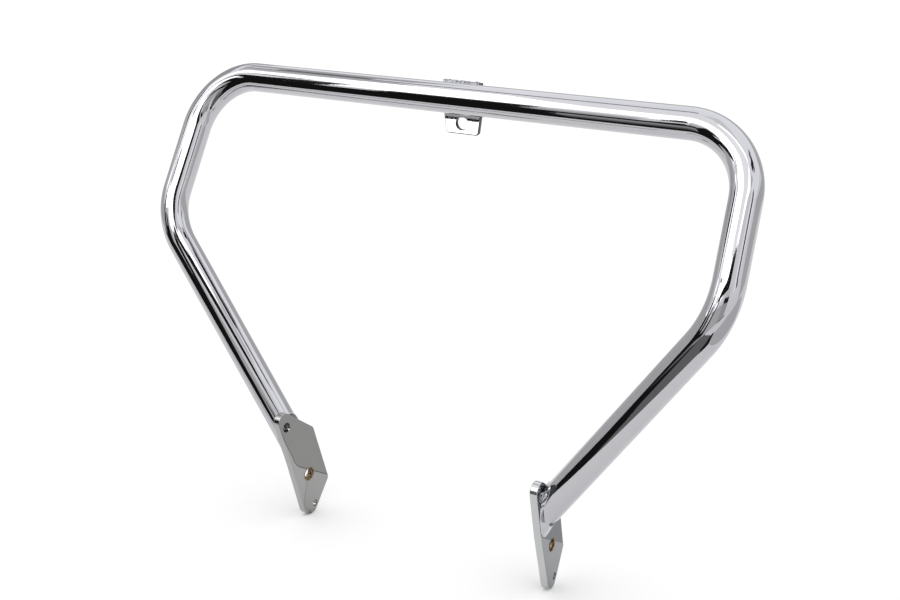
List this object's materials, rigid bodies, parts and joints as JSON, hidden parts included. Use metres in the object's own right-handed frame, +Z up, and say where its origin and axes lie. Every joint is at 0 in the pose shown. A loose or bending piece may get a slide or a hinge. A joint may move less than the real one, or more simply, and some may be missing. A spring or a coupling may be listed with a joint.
{
  "type": "motorcycle crash bars",
  "caption": "Bent steel tube guard loop with a flat bolt plate at each lower end and a slotted bolt tab behind its top bar",
  "frame": {"origin": "centre of the slotted bolt hole in the tab behind the top bar, halfway through the tab's thickness", "axes": "+X towards the rider's left, square to the plane of symmetry; +Y towards the rear of the motorcycle, along the tab's bolt; +Z up"},
  "size_m": [0.6952, 0.1304, 0.5012],
  "materials": {
    "tube_chrome": "polished chrome plate, mirror bright",
    "plate_chrome": "polished chrome plate over flat steel, slightly wavy",
    "tab_chrome": "polished chrome plate over flat steel",
    "weld_chrome": "chrome plate over a rippled weld bead"
  },
  "bodies": {
    "root": {"guard_tube": "tube_chrome", "mount_plate_left": "plate_chrome", "mount_plate_right": "plate_chrome", "top_tab": "tab_chrome", "foot_weld_left": "weld_chrome", "foot_weld_right": "weld_chrome", "tab_weld_upper": "weld_chrome", "tab_weld_lower": "weld_chrome"}
  },
  "joints": []
}
